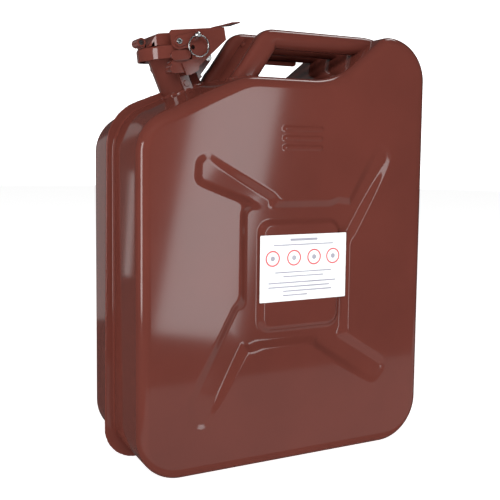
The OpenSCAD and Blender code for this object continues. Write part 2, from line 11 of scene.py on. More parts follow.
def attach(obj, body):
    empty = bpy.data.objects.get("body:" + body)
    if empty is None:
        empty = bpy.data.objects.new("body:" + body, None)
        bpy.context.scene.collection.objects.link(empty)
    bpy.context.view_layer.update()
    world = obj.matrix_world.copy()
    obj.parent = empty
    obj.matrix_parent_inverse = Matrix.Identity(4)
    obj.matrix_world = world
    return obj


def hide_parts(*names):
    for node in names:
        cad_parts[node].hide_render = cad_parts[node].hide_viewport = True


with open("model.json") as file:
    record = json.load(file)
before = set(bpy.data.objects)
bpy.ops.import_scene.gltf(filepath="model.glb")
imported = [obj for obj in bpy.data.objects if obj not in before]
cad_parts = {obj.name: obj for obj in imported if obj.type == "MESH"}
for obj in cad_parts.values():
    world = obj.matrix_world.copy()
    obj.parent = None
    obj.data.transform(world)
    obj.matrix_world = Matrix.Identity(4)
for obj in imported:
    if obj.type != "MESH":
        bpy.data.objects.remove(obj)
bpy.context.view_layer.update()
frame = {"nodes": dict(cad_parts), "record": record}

MM = 0.001

# ------------------------------------------------------------------ sizes shared with the solids, in mm
HALF_W, HALF_T = 172.5, 82.5
HUMP_Z, DECK_Z, SHOULDER_Z = 466.0, 414.6, 360.5
EDGE_R = 11.0
SHOULDER_CROWN, SIDE_DRAFT = 8.0, 1.5
LIP_LOW, LIP_HIGH, LIP_Z, LIP_T, BEAD_R, BASE_DIP = 10.4, 7.0, 2.0, 1.4, 1.4, 2.7
OUTLINE = [(-HALF_W, 0, 46), (HALF_W, 0, 50), (HALF_W, HUMP_Z, 48), (117, HUMP_Z, 19),
           (54.3, DECK_Z, 85), (-54.5, DECK_Z, 60), (-HALF_W, SHOULDER_Z, 42)]
LIP = [(-HALF_W - LIP_LOW, LIP_Z, 34), (HALF_W + LIP_LOW, LIP_Z, 34), (HALF_W + LIP_HIGH, HUMP_Z + 1, 54),
       (117, HUMP_Z + 1, 20), (54, DECK_Z + 4, 85), (-66.7, DECK_Z + 4, 60),
       (-HALF_W - LIP_HIGH, SHOULDER_Z + 13.5, 50)]
FACE_MIDDLE = np.array([0.0, 225.0])

# Pressed cross: walls run along these outlines
CROSS_DEPTH, PAD_DEPTH = 5.0, 1.2
WALL_W, PAD_WALL_W = 11.0, 8.0
ARM_BLEND = 9.0
FIELD = [(-59, 132), (67, 132), (67, 281), (-59, 281)]
ARMS = [[(-30, 270), (-20, 286), (-110, 337), (-112, 306), (-55, 285)],
        [(50, 250), (72, 244), (122, 328), (116, 360), (72, 283), (50, 283)],
        [(-40, 131), (-56, 131), (-110, 36), (-118, 80), (-66, 176), (-50, 176)],
        [(40, 150), (67, 132), (124, 95), (108, 75), (27, 128)]]
PAD = [(-38, 147), (58, 147), (58, 262), (-38, 262)]
ARM_ROUND, FIELD_ROUND, PAD_ROUND = 9.0, 12.0, 12.0
# The arms get shallower between these distances from the cross's middle, by this share of their depth
CROSS_X, CROSS_Z = 2.0, 208.0
FADE_FROM, FADE_TO, FADE_SHARE = 92.0, 178.0, 0.82
# Three raised ribs high on the face
RIBS_X, RIBS_Z, RIB_HALF, RIB_RISE, RIB_WALL = (-12.0, 31.0), (341.0, 351.0, 361.0), 2.2, 1.2, 2.2

# Side walls: each point's outline normal is raised to DRAFT_POWER, so that the draft acts on the sides alone
DRAFT_POWER = 8
CROWN_FROM_X, CROWN_RUN = -55.0, 35.0
FLUSH_LEFT, FLUSH_LEFT_RUN, FLUSH_RIGHT, FLUSH_RIGHT_RUN = -75.0, 15.0, 120.0, 14.0
# Quarter round that carries the wall out to the seam lip, and the gap at the seam
FLARE_R, DIP_RUN, SEAM_GAP = 4.6, 4, 0.2
FLARE_STEPS, WALL_RINGS, EDGE_STEPS, WALL_START_Y = 8, 16, 14, 7.0
PAN_POINTS, PAN_LAYERS = ((720, 190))
FACE_FILLED, UPWARD = 0.999, 0.2

# Seam lip: it stops on both sides of the handles
LIP_POINTS, LIP_GAP_Z, LIP_GAP_X = 900, DECK_Z - 60, (-118, 124)
LIP_GAP_Y, LIP_BEVEL, LIP_INSET, LIP_INSET_BASE = 0.05, 0.3, 1, 3
BEAD_SET, BEAD_WANDER = 0.3, 0.15

# Neck's axis, and the carrying bars with their sloping legs
NECK_TILT, NECK_R, CAP_ORIGIN = math.radians(23), 23.0, (-112.0, 437.0)
BAR_R, BAR_GAP, BAR_Z = 10.5, 46.0, 457.8
LEG_ANGLE, LEG_FOOT_X, MIDDLE_LEAD, REAR_LAG, BEND_R = math.radians(56), -45.0, 13.0, 6.0, 13.0
END_X, END_R, END_ANGLE = 104.0, 60.0, math.radians(25)
LEG_WIDE, LEG_THICK, LEG_FLAT = 12.0, 10.2, 3.4
LEG_BELOW, FOOT_SPREAD, FOOT_RISE = 14, 0.8, 8
FOOT_POINTS, SLIDES, SLIDE_SHARE = 96, 30, 0.6
BEAD_OUT, BEAD_OUT_THICK, BEAD_FLAT = 0.6, 0.3, 3.0
LEG_STEP, BAR_STEP, BEND_STEPS, END_STEPS, BAR_SIDES = 2.0, 6.0, 18, 12, 56
FOOT_BEAD_R, NECK_BEAD_R, BEAD_SIDES = 2.1, 2.6, 14


# ------------------------------------------------------------------ outlines

def corner_arc(a, b, c, radius, step):
    """Arc that rounds corner b between a and c, as rows of x, z and outward normal (anticlockwise outlines)."""
    a, b, c = (np.array(p[:2], float) for p in (a, b, c))
    d0, d1 = (b - a) / np.linalg.norm(b - a), (c - b) / np.linalg.norm(c - b)
    n0, n1 = np.array([d0[1], -d0[0]]), np.array([d1[1], -d1[0]])
    turn = math.atan2(d0[0] * d1[1] - d0[1] * d1[0], float(d0 @ d1))
    if radius <= 0 or abs(turn) < 1e-6:
        mean = (n0 + n1) / np.linalg.norm(n0 + n1)
        return [np.concatenate([b, mean])]
    side = 1.0 if turn > 0 else -1.0
    centre = b - side * radius / math.cos(turn / 2) * (n0 + n1) / np.linalg.norm(n0 + n1)
    steps = max(2, int(math.ceil(abs(turn) * radius / step)))
    rows = []
    for k in range(steps + 1):
        t = turn * k / steps
        n = np.array([n0[0] * math.cos(t) - n0[1] * math.sin(t), n0[0] * math.sin(t) + n0[1] * math.cos(t)])
        rows.append(np.concatenate([centre + side * radius * n, n]))
    return rows


def rounded(corners, step=0.5):
    """Outline through corners of x, z and radius, with its corners rounded."""
    m = len(corners)
    rows = []
    for i in range(m):
        rows += corner_arc(corners[i - 1], corners[i], corners[(i + 1) % m],
                           corners[i][2] if len(corners[i]) > 2 else 0, step)
    return np.array(rows)


def resample(rows, count):
    """Closed outline with evenly spaced points and unit normals."""
    closed = np.vstack([rows, rows[:1]])
    length = np.concatenate([[0], np.cumsum(np.linalg.norm(np.diff(closed[:, :2], axis=0), axis=1))])
    at = np.linspace(0, length[-1], count, endpoint=False)
    out = np.stack([np.interp(at, length, closed[:, k]) for k in range(4)], 1)
    out[:, 2:] /= np.linalg.norm(out[:, 2:], axis=1)[:, None]
    return out


# ------------------------------------------------------------------ meshes

def finish_mesh(name, mesh, body, material, smooth_angle, replaces=()):
    """Object from a mesh, on its body; a smooth_angle of 0 keeps the mesh's own normals."""
    if smooth_angle:
        mesh.polygons.foreach_set("use_smooth", [True] * len(mesh.polygons))
        mesh.set_sharp_from_angle(angle=math.radians(smooth_angle))
    obj = bpy.data.objects.new(name, mesh)
    bpy.context.scene.collection.objects.link(obj)
    obj.data.materials.clear()
    obj.data.materials.append(material)
    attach(obj, body)
    if replaces:
        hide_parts(*replaces)


def mesh_from(name, verts_mm, faces):
    mesh = bpy.data.meshes.new(name)
    mesh.from_pydata((np.asarray(verts_mm, float) * MM).tolist(), [], [tuple(f) for f in faces])
    mesh.validate()
    mesh.update()
    return mesh


def grid_faces(rows, cols, closed_rows=False):
    """Quads between rings of cols points, and from the last ring back to the first if closed_rows is set."""
    faces = []
    for i in range(rows if closed_rows else rows - 1):
        for j in range(cols):
            a, b = i * cols + j, i * cols + (j + 1) % cols
            c, d = ((i + 1) % rows) * cols + j, ((i + 1) % rows) * cols + (j + 1) % cols
            faces.append((a, b, d, c))
    return faces


def outward(mesh):
    bm = bmesh.new()
    bm.from_mesh(mesh)
    bmesh.ops.recalc_face_normals(bm, faces=bm.faces)
    bm.to_mesh(mesh)
    bm.free()
    return mesh


def joined(name, meshes):
    """One mesh from several."""
    bm = bmesh.new()
    for mesh in meshes:
        bm.from_mesh(mesh)
    out = bpy.data.meshes.new(name)
    bm.to_mesh(out)
    bm.free()
    for mesh in meshes:
        bpy.data.meshes.remove(mesh)
    return out


PLATE_BEVEL_STEPS, WELD_M = 2, 1e-6


def plate(name, outlines, y0, y1, bevel):
    """Flat plate in the X-Z plane from y0 to y1, with rounded edges; outlines after the first are holes."""
    curve = bpy.data.curves.new(name, "CURVE")
    curve.dimensions = "2D"
    curve.fill_mode = "BOTH"
    curve.extrude = ((y1 - y0) / 2 - bevel) * MM
    curve.bevel_depth = bevel * MM
    curve.bevel_resolution = PLATE_BEVEL_STEPS
    curve.offset = -bevel * MM
    for outline in outlines:
        spline = curve.splines.new("POLY")
        spline.points.add(len(outline) - 1)
        for point, row in zip(spline.points, outline):
            point.co = (row[0] * MM, row[1] * MM, 0, 1)
        spline.use_cyclic_u = True
    holder = bpy.data.objects.new(name + "_curve", curve)
    bpy.context.scene.collection.objects.link(holder)
    bpy.context.view_layer.update()
    mesh = bpy.data.meshes.new_from_object(holder.evaluated_get(bpy.context.evaluated_depsgraph_get()))
    bpy.data.objects.remove(holder)
    bpy.data.curves.remove(curve)
    stand = Matrix.Translation((0, (y0 + y1) / 2 * MM, 0)) @ Matrix.Rotation(math.radians(90), 4, "X")
    bm = bmesh.new()
    bm.from_mesh(mesh)
    bmesh.ops.remove_doubles(bm, verts=bm.verts, dist=WELD_M)
    bm.to_mesh(mesh)
    bm.free()
    mesh.transform(stand)
    mesh.name = name
    return outward(mesh)


def circle_outline(x, z, r, steps):
    a = np.arange(steps) * 2 * math.pi / steps
    return np.stack([x + r * np.cos(a), z + r * np.sin(a)], 1)


ALMOST_PARALLEL = 0.95


def sweep(name, path, section, closed=False):
    """Tube: path rows are x, y, z; section(k) gives the ring's (side, up) offsets at step k."""
    path = np.asarray(path, float)
    n = len(path)
    ahead = np.roll(path, -1, 0) - path if closed else np.vstack([np.diff(path, axis=0), path[-1] - path[-2]])
    behind = path - np.roll(path, 1, 0) if closed else np.vstack([path[1] - path[0], np.diff(path, axis=0)])
    tangent = ahead / np.linalg.norm(ahead, axis=1)[:, None] + behind / np.linalg.norm(behind, axis=1)[:, None]
    tangent /= np.linalg.norm(tangent, axis=1)[:, None]
    verts, count = [], 0
    for k in range(n):
        side = np.array([0.0, 1.0, 0.0])
        if abs(tangent[k] @ side) > ALMOST_PARALLEL:
            side = np.array([1.0, 0.0, 0.0])
        side = side - tangent[k] * (tangent[k] @ side)
        side /= np.linalg.norm(side)
        up = np.cross(side, tangent[k])
        ring = section(k)
        count = len(ring)
        verts += [path[k] + side * p[0] + up * p[1] for p in ring]
    faces = grid_faces(n, count, closed_rows=closed)
    if not closed:
        faces += [tuple(range(count)), tuple(range((n - 1) * count, n * count))]
    return outward(mesh_from(name, verts, faces))


def unit_ring(steps):
    a = np.arange(steps) * 2 * math.pi / steps
    return np.stack([np.cos(a), np.sin(a)], 1)


# ------------------------------------------------------------------ materials

RAMP_START, RAMP_END = 0.3, 0.7


def node_tree(name):
    """New material with its node tree and its shader."""
    material = bpy.data.materials.new(name)
    material.use_nodes = True
    return material, material.node_tree, material.node_tree.nodes["Principled BSDF"]


def noise(tree, scale, detail):
    """Noise over the object's own coordinates; returns its value socket."""
    coords = tree.nodes.new("ShaderNodeTexCoord")
    node = tree.nodes.new("ShaderNodeTexNoise")
    node.inputs["Scale"].default_value = scale
    node.inputs["Detail"].default_value = detail
    node.inputs["Roughness"].default_value = 0.5
    tree.links.new(coords.outputs["Object"], node.inputs["Vector"])
    return node.outputs["Fac"]


def colour_between(tree, shader, source, low, high):
    """Base colour that runs between two colours with the source."""
    node = tree.nodes.new("ShaderNodeValToRGB")
    node.color_ramp.elements[0].position = RAMP_START
    node.color_ramp.elements[1].position = RAMP_END
    node.color_ramp.elements[0].color = (*low, 1)
    node.color_ramp.elements[1].color = (*high, 1)
    tree.links.new(source, node.inputs["Fac"])
    tree.links.new(node.outputs["Color"], shader.inputs["Base Color"])


def roughness_between(tree, shader, source, low, high):
    """Roughness that runs between two values with the source."""
    node = tree.nodes.new("ShaderNodeMapRange")
    node.inputs["To Min"].default_value = low
    node.inputs["To Max"].default_value = high
    tree.links.new(source, node.inputs["Value"])
    tree.links.new(node.outputs["Result"], shader.inputs["Roughness"])


def bump(tree, shader, source, strength, distance):
    node = tree.nodes.new("ShaderNodeBump")
    node.inputs["Strength"].default_value = strength
    node.inputs["Distance"].default_value = distance
    tree.links.new(source, node.inputs["Height"])
    tree.links.new(node.outputs["Normal"], shader.inputs["Normal"])


def paint_material():
    """Thick glossy red-brown enamel with a trace of orange peel."""
    material, tree, shader = node_tree("red_brown_enamel")
    cloud = noise(tree, 9.0, 4.0)
    colour_between(tree, shader, cloud, (0.105, 0.0265, 0.0195), (0.125, 0.031, 0.0225))
    roughness_between(tree, shader, cloud, 0.07, 0.11)
    shader.inputs["Specular IOR Level"].default_value = 0.5
    bump(tree, shader, noise(tree, 420.0, 2.0), 0.02, 0.00005)
    return material


def zinc_material():
    """Bright zinc-plated steel with fine wear."""
    material, tree, shader = node_tree("bright_zinc")
    grain = noise(tree, 260.0, 5.0)
    colour_between(tree, shader, grain, (0.55, 0.56, 0.56), (0.8, 0.8, 0.79))
    shader.inputs["Metallic"].default_value = 1.0
    roughness_between(tree, shader, grain, 0.18, 0.36)
    bump(tree, shader, grain, 0.08, 0.0003)
    return material


def rubber_material():
    """Black fuel-proof rubber, matte with a fine grain."""
    material, tree, shader = node_tree("black_rubber")
    grain = noise(tree, 500.0, 3.0)
    colour_between(tree, shader, grain, (0.012, 0.012, 0.012), (0.03, 0.03, 0.03))
    roughness_between(tree, shader, grain, 0.6, 0.8)
    bump(tree, shader, grain, 0.2, 0.0004)
    return material


def print_material(name, low, high, roughness):
    """Printed film: a nearly even colour with a faint mottle."""
    material, tree, shader = node_tree(name)
    mottle = noise(tree, 60.0, 3.0)
    colour_between(tree, shader, mottle, low, high)
    roughness_between(tree, shader, mottle, roughness - 0.05, roughness + 0.05)
    return material


PAINT = paint_material()
ZINC = zinc_material()
RUBBER = rubber_material()
FILM = print_material("white_film", (0.86, 0.86, 0.87), (0.9, 0.9, 0.9), 0.35)
RED_INK = print_material("red_ink", (0.62, 0.07, 0.08), (0.7, 0.1, 0.11), 0.4)
GREY_INK = print_material("grey_ink", (0.3, 0.3, 0.36), (0.4, 0.4, 0.46), 0.45)

SLOT_MATERIAL = {"paint": PAINT, "zinc": ZINC, "gasket": RUBBER, "label": FILM}
for entry in frame["record"]["subparts"]:
    node = frame["nodes"][entry["node"]]
    node.data.materials.clear()
    node.data.materials.append(SLOT_MATERIAL[entry["material_slot"]])


# ------------------------------------------------------------------ pans

FAR_MM = 1e9


def polygon_distance(points, x, z):
    """Signed distance to a polygon, negative inside."""
    best = np.full(x.shape, FAR_MM)
    inside = np.zeros(x.shape, bool)
    n = len(points)
    for i in range(n):
        ax, az = points[i]
        bx, bz = points[(i + 1) % n]
        ex, ez = bx - ax, bz - az
        t = np.clip(((x - ax) * ex + (z - az) * ez) / (ex * ex + ez * ez), 0, 1)
        best = np.minimum(best, np.hypot(x - ax - t * ex, z - az - t * ez))
        crosses = ((az > z) != (bz > z)) & (x < (bx - ax) * (z - az) / (bz - az + 1e-12) + ax)
        inside ^= crosses
    return np.where(inside, -best, best)


def shrunk(points, by):
    """Polygon whose rounded growth by the same amount comes back to the original walls."""
    m = len(points)
    out = []
    for i in range(m):
        a, b, c = (np.array(points[k % m], float) for k in (i - 1, i, i + 1))
        d0, d1 = (b - a) / np.linalg.norm(b - a), (c - b) / np.linalg.norm(c - b)
        n0, n1 = np.array([-d0[1], d0[0]]), np.array([-d1[1], d1[0]])
        out.append(tuple(b + by * (n0 + n1) / (1 + float(n0 @ n1))))
    return out


def anticlockwise(points):
    area = sum(points[i - 1][0] * points[i][1] - points[i][0] * points[i - 1][1] for i in range(len(points)))
    return points if area > 0 else points[::-1]


def soft_min(a, b, k):
    """Smaller of two distances, blended over k."""
    h = np.clip(0.5 + 0.5 * (b - a) / k, 0, 1)
    return b + (a - b) * h - k * h * (1 - h)


def wall_ramp(t, round_share=0.3):
    """Straight slope from 0 to 1 with rounded ends."""
    f = round_share
    t = np.clip(t, 0, 1)
    low = t * t / (2 * f * (1 - f))
    high = 1 - (1 - t) ** 2 / (2 * f * (1 - f))
    middle = (t - f / 2) / (1 - f)
    return np.where(t < f, low, np.where(t > 1 - f, high, middle))


def rounded_distance(points, radius, x, z):
    """Signed distance to a polygon whose corners are rounded."""
    return polygon_distance(shrunk(anticlockwise(points), radius), x, z) - radius


def relief(x, z):
    """Depth of the pressing below the face, in mm."""
    d = rounded_distance(FIELD, FIELD_ROUND, x, z)
    for arm in ARMS:
        d = soft_min(d, rounded_distance(arm, ARM_ROUND, x, z), ARM_BLEND)
    pad = rounded_distance(PAD, PAD_ROUND, x, z)
    # the arms run out towards their ends
    reach = np.clip((np.hypot(x - CROSS_X, z - CROSS_Z) - FADE_FROM) / (FADE_TO - FADE_FROM), 0, 1)
    depth = CROSS_DEPTH * (1 - FADE_SHARE * reach * reach * (3 - 2 * reach))
    sunk = depth * wall_ramp(0.5 - d / WALL_W)
    raised = (CROSS_DEPTH - PAD_DEPTH) * wall_ramp(0.5 - pad / PAD_WALL_W)
    for rib_z in RIBS_Z:
        rib = np.hypot(np.maximum(0, np.abs(x - sum(RIBS_X) / 2) - (RIBS_X[1] - RIBS_X[0]) / 2), z - rib_z)
        raised = raised + RIB_RISE * wall_ramp((RIB_HALF + 1 - rib) / RIB_WALL)
    return sunk - raised


def swell(rows):
    """How far the walls stand out at the seam: the sides' draft and the shoulder's crown."""
    up = np.maximum(0, rows[:, 3])
    near_neck = np.clip((CROWN_FROM_X - rows[:, 0]) / CROWN_RUN, 0, 1)
    return SIDE_DRAFT * rows[:, 2] ** DRAFT_POWER + SHOULDER_CROWN * up * up * near_neck


def flush(rows):
    """Share of the flare: none on the deck between the neck and the hump, all of it elsewhere."""
    left, right = (FLUSH_LEFT - rows[:, 0]) / FLUSH_LEFT_RUN, (rows[:, 0] - FLUSH_RIGHT) / FLUSH_RIGHT_RUN
    return np.where(rows[:, 3] < UPWARD, 1.0, np.clip(np.maximum(left, right), 0, 1))


def pan_mesh():
    """Front pan's outside: seam flare, side walls, pressed edge and the face with its relief."""
    rows = resample(rounded(OUTLINE), PAN_POINTS)
    grow, keep, low = swell(rows), flush(rows), np.maximum(0, -rows[:, 3])
    rings = []

    def ring(y, offset):
        arch = 1 - (y / HALF_T) ** 2
        s = grow * arch + offset
        rings.append(np.stack([rows[:, 0] + rows[:, 2] * s, np.full(PAN_POINTS, y),
                               rows[:, 1] + rows[:, 3] * s], 1))

    # quarter round from the lip out to the wall; under the base it dips instead
    for k in range(FLARE_STEPS + 1):
        a = math.radians(90 * k / FLARE_STEPS)
        out = FLARE_R * (1 - math.sin(a))
        ring(-SEAM_GAP - FLARE_R * (1 - math.cos(a)), out * keep * (1 - low) - BASE_DIP * out / DIP_RUN * low)
    for y in np.linspace(-WALL_START_Y, -(HALF_T - EDGE_R), WALL_RINGS):
        ring(y, 0)
    for k in range(1, EDGE_STEPS + 1):
        a = math.radians(90 * k / EDGE_STEPS)
        ring(-HALF_T + EDGE_R - EDGE_R * math.sin(a), -EDGE_R * (1 - math.cos(a)))
    # the face's rings shrink towards its middle
    edge = rings[-1]
    for k in range(1, PAN_LAYERS + 1):
        s = 1 - k / PAN_LAYERS * FACE_FILLED
        rings.append(np.stack([FACE_MIDDLE[0] + (edge[:, 0] - FACE_MIDDLE[0]) * s, edge[:, 1],
                               FACE_MIDDLE[1] + (edge[:, 2] - FACE_MIDDLE[1]) * s], 1))
    verts = np.vstack(rings)
    face = np.arange(len(verts)) >= (len(rings) - PAN_LAYERS) * PAN_POINTS
    verts[face, 1] += relief(verts[face, 0], verts[face, 2])
    return outward(mesh_from("pan", verts, grid_faces(len(rings), PAN_POINTS)))


def shells():
    front = pan_mesh()
    rear = front.copy()
    rear.transform(Matrix.Scale(-1, 4, (0, 1, 0)))
    rear.flip_normals()
    finish_mesh("front_pan_skin", front, "can", PAINT, 60, ["front_shell"])
    finish_mesh("rear_pan_skin", rear, "can", PAINT, 60, ["rear_shell"])


# ------------------------------------------------------------------ seam

def gapless(rows):
    """Run of an outline from the right end of the lip's gap round the base to the neck."""
    out = (rows[:, 1] > LIP_GAP_Z) & (rows[:, 0] > LIP_GAP_X[0]) & (rows[:, 0] < LIP_GAP_X[1])
    start = int(np.argmax(out))
    rows, out = np.roll(rows, -start, 0), np.roll(out, -start)
    return rows[~out]


def seam():
    """Both pans' lips, and the weld bead along them."""
    lip = gapless(resample(rounded(LIP), LIP_POINTS))
    pan = gapless(resample(rounded(OUTLINE), LIP_POINTS))
    if lip[0, 0] < 0:
        lip, pan = lip[::-1], pan[::-1]
    # the lips' inner edge is hidden inside the pans' walls, deeper under the base
    inner = pan[:, :2] - pan[:, 2:] * (LIP_INSET + LIP_INSET_BASE * np.maximum(0, -pan[:, 3]))[:, None]
    outline = np.vstack([lip[:, :2], inner[::-1]])
    for name, y0, y1 in (("front_lip", -LIP_T, -LIP_GAP_Y), ("rear_lip", LIP_GAP_Y, LIP_T)):
        finish_mesh(name, plate(name, [outline], y0, y1, LIP_BEVEL), "can", PAINT, 40)
    along = np.arange(len(lip))
    ripple = 1 + 0.10 * np.sin(along * 2.1) + 0.06 * np.sin(along * 0.83)
    path = np.stack([lip[:, 0] + lip[:, 2] * BEAD_SET, BEAD_WANDER * np.sin(along * 0.31),
                     lip[:, 1] + lip[:, 3] * BEAD_SET], 1)
    ring = unit_ring(BEAD_SIDES)
    finish_mesh("seam_bead", sweep("seam_bead", path, lambda k: ring * BEAD_R * ripple[k]),
                "can", PAINT, 70, ["seam_weld"])


# ------------------------------------------------------------------ carrying bars

TOP_NORMAL, STEEPEST = 0.3, 0.5
TOP_ROWS = rounded(OUTLINE)
TOP_ROWS = TOP_ROWS[TOP_ROWS[:, 3] > TOP_NORMAL]
TOP_ROWS = TOP_ROWS[np.argsort(TOP_ROWS[:, 0])]


def top_of_can(x, y):
    """Height of the pans' top at a place."""
    z, nx, nz = (float(np.interp(x, TOP_ROWS[:, 0], TOP_ROWS[:, k])) for k in (1, 2, 3))
    grow = float(swell(np.array([[x, z, nx, nz]]))[0]) * (1 - (y / HALF_T) ** 2)
    return z + grow / max(nz, STEEPEST)


def foot_curve(origin, lean, radii, flat=2.0):
    """Where a tube that leans from upright by lean meets the pans' top, as rows of x, y, z."""
    axis = np.array([math.sin(lean), 0, math.cos(lean)])
    across = np.array([-math.cos(lean), 0, math.sin(lean)])
    out = []
    for k in range(FOOT_POINTS):
        a = 2 * math.pi * k / FOOT_POINTS
        c, si = math.cos(a), math.sin(a)
        r = (abs(c / radii[0]) ** flat + abs(si / radii[1]) ** flat) ** (-1 / flat)
        base = np.array(origin, float) + across * r * c + np.array([0, r * si, 0])
        # slide along the tube until the point is on the pans' top
        t = 0.0
        for _ in range(SLIDES):
            point = base + axis * t
            t += SLIDE_SHARE * (top_of_can(point[0], point[1]) - point[2]) / axis[2]
        out.append(base + axis * t)
    return np.array(out)


def weld_bead(name, curve, radius, seed):
    """Closed bead along a curve, with an uneven thickness."""
    n = len(curve)
    a = np.arange(n) * 2 * math.pi / n
    size = radius * (1 + 0.16 * np.sin(9 * a + seed) + 0.12 * np.sin(17 * a + 2 * seed))
    ring = unit_ring(BEAD_SIDES)
    return sweep(name, curve, lambda k: ring * size[k], closed=True)


def foot_x(y):
    """Where the leg of the bar at y meets the deck."""
    return LEG_FOOT_X - (MIDDLE_LEAD if y == 0 else -REAR_LAG if y > 0 else 0)


def bar_path(y):
    """Middle line of a bar from its foot, and how much of the leg's section each point has."""
    foot = foot_x(y)
    c, si = math.cos(LEG_ANGLE), math.sin(LEG_ANGLE)
    elbow = foot + (BAR_Z - DECK_Z) / math.tan(LEG_ANGLE)
    reach = BEND_R * math.tan(LEG_ANGLE / 2)
    rows, share = [], []
    leg = (BAR_Z - DECK_Z) / si - reach
    for t in np.arange(-LEG_BELOW, leg - 1, LEG_STEP):
        rows.append((foot + t * c, y, DECK_Z + t * si))
        share.append(1.0)
    for k in range(BEND_STEPS + 1):
        a = LEG_ANGLE * (1 - k / BEND_STEPS)
        rows.append((elbow + reach - BEND_R * math.sin(a), y, BAR_Z - BEND_R + BEND_R * math.cos(a)))
        share.append(1 - k / BEND_STEPS)
    for x in np.arange(elbow + reach + 4, END_X - 1, BAR_STEP):
        rows.append((x, y, BAR_Z))
        share.append(0.0)
    for k in range(END_STEPS + 1):
        a = END_ANGLE * k / END_STEPS
        rows.append((END_X + END_R * math.sin(a), y, BAR_Z - END_R + END_R * math.cos(a)))
        share.append(0.0)
    return np.array(rows), np.array(share)


def bars():
    """Three carrying bars, and the weld beads at their feet and round the neck."""
    a = np.arange(BAR_SIDES) * 2 * math.pi / BAR_SIDES
    for name, node, y in (("front_bar", "front_handle", -BAR_GAP), ("middle_bar", "middle_handle", 0),
                          ("rear_bar", "rear_handle", BAR_GAP)):
        path, share = bar_path(y)

        def section(k):
            f = share[k] * share[k] * (3 - 2 * share[k])
            low = max(0.0, 1 - abs(path[k, 2] - DECK_Z) / FOOT_RISE) * (share[k] == 1)
            wide = BAR_R + (LEG_WIDE - BAR_R) * f + FOOT_SPREAD * low
            thick = BAR_R + (LEG_THICK - BAR_R) * f
            power = 2 + (LEG_FLAT - 2) * f
            r = (np.abs(np.cos(a) / thick) ** power + np.abs(np.sin(a) / wide) ** power) ** (-1 / power)
            return np.stack([r * np.cos(a), r * np.sin(a)], 1)

        finish_mesh(name, sweep(name, path, section), "can", PAINT, 60, [node])
    beads = []
    for k, y in enumerate((-BAR_GAP, 0, BAR_GAP)):
        origin = (foot_x(y), y, DECK_Z)
        curve = foot_curve(origin, math.pi / 2 - LEG_ANGLE, (LEG_WIDE + BEAD_OUT, LEG_THICK + BEAD_OUT_THICK),
                           BEAD_FLAT)
        beads.append(weld_bead("foot_bead", curve, FOOT_BEAD_R, 1.7 * k + 0.4))
    finish_mesh("foot_beads", joined("foot_beads", beads), "can", PAINT, 80, ["handle_welds"])
    neck = foot_curve((CAP_ORIGIN[0], 0, CAP_ORIGIN[1]), -NECK_TILT, (NECK_R + BEAD_OUT, NECK_R + BEAD_OUT))
    finish_mesh("neck_bead", weld_bead("neck_bead", neck, NECK_BEAD_R, 0.9),
                "can", PAINT, 80, ["neck_weld"])


# ------------------------------------------------------------------ pressed and turned pieces

DOUBLES_M, FLAT_ANGLE, HARD_ANGLE, BEVEL_SEGMENTS = 2e-6, math.radians(0.6), math.radians(28), 3


def softened(node_name, body, slot, width):
    """Copy of a solid with its hard edges rounded off and its flat faces kept flat."""
    source = frame["nodes"][node_name]
    bm = bmesh.new()
    bm.from_mesh(source.data)
    bm.transform(source.matrix_world)
    bmesh.ops.remove_doubles(bm, verts=bm.verts, dist=DOUBLES_M)
    bmesh.ops.dissolve_limit(bm, angle_limit=FLAT_ANGLE, verts=bm.verts, edges=bm.edges)
    hard = [e for e in bm.edges if len(e.link_faces) == 2 and e.calc_face_angle() > HARD_ANGLE]
    bmesh.ops.bevel(bm, geom=hard, offset=width * MM, offset_type="OFFSET", segments=BEVEL_SEGMENTS,
                    profile=0.5, affect="EDGES", clamp_overlap=True)
    bmesh.ops.recalc_face_normals(bm, faces=bm.faces)
    bm.verts.ensure_lookup_table()
    # normals weighted by area keep the flat faces flat
    normals = []
    for vert in bm.verts:
        total = Vector((0, 0, 0))
        for face in vert.link_faces:
            total += face.normal * face.calc_area()
        normals.append(total.normalized() if total.length else Vector((0, 0, 1)))
    mesh = bpy.data.meshes.new(node_name + "_soft")
    bm.to_mesh(mesh)
    bm.free()
    mesh.polygons.foreach_set("use_smooth", [True] * len(mesh.polygons))
    mesh.normals_split_custom_set_from_vertices(normals)
    finish_mesh(node_name + "_soft", mesh, body, SLOT_MATERIAL[slot], 0, [node_name])


# Body, piece, and the width of its rounded edges in mm
SOFT_PIECES = {
    "can": {"handle_bridge": 0.6, "bridge_rivets": 0.3, "rear_bar_gusset": 0.8, "mouth_collar": 0.3,
            "front_strap": 0.8, "rear_strap": 0.8, "strap_spot_welds": 0.2, "hinge_bracket": 0.6,
            "hinge_pin": 0.35, "label": 0.05},
    "cap": {"cap_shell": 0.5, "cap_gasket": 0.5, "gasket_retainer": 0.4, "cap_yoke": 0.5, "cap_bosses": 0.9,
            "cap_lip": 0.4, "cap_hinge_leaf": 0.6, "lever_studs": 0.3},
    "lever": {"lever": 0.6, "front_lever_link": 0.4, "rear_lever_link": 0.4, "thumb_tab": 0.5},
    "lock_pin": {"ring_pin": 0.25},
}


def soft_pieces():
    slots = {entry["node"]: entry["material_slot"] for entry in frame["record"]["subparts"]}
    for body, pieces in SOFT_PIECES.items():
        for node_name, width in pieces.items():
            softened(node_name, body, slots[node_name], width)


# ------------------------------------------------------------------ label's print

PRINT_Y, PRINT_HALF, PRINT_BEVEL = -81.66, 0.04, 0.01
MARKS_X, MARKS_Z, MARK_R, MARK_LINE, DOT_R = (-25.0, 1.0, 26.0, 50.0), 223.5, 8.6, 1.5, 2.6
BAR_ROUND = 0.45
